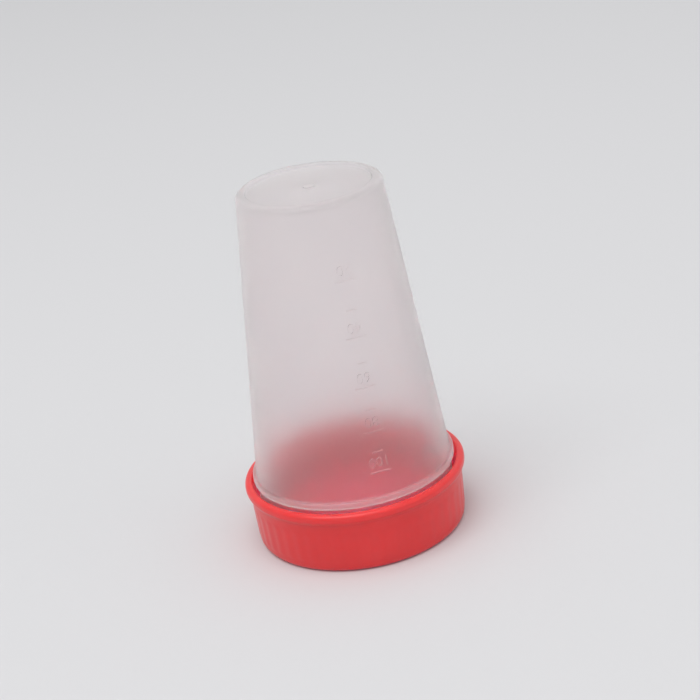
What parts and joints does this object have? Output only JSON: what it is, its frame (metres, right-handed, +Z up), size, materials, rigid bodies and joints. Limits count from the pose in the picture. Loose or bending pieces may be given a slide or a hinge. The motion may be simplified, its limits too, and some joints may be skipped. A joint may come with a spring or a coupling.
{
  "type": "specimen container with screw lid",
  "caption": "Tapered translucent plastic specimen cup with a red screw lid; stands upside down on the lid, which unscrews and lifts apart.",
  "frame": {"origin": "centre of the lid's closed face, which the container stands on", "axes": "+Z up along the common axis, from the lid's closed face to the cup's foot; the container is a body of revolution, so +X and +Y are free apart from the rib pattern"},
  "size_m": [0.06, 0.06, 0.098],
  "materials": {
    "natural_polypropylene": "moulded, translucent, satin",
    "red_polypropylene": "moulded, semi-gloss"
  },
  "bodies": {
    "lid": {"lid": "red_polypropylene"},
    "cup": {"cup": "natural_polypropylene"}
  },
  "joints": [
    {"name": "cup_lift", "type": "slide", "parent": "lid", "child": "cup", "axis": [0, 0, 1], "range_m": [0, 0.045]}
  ]
}
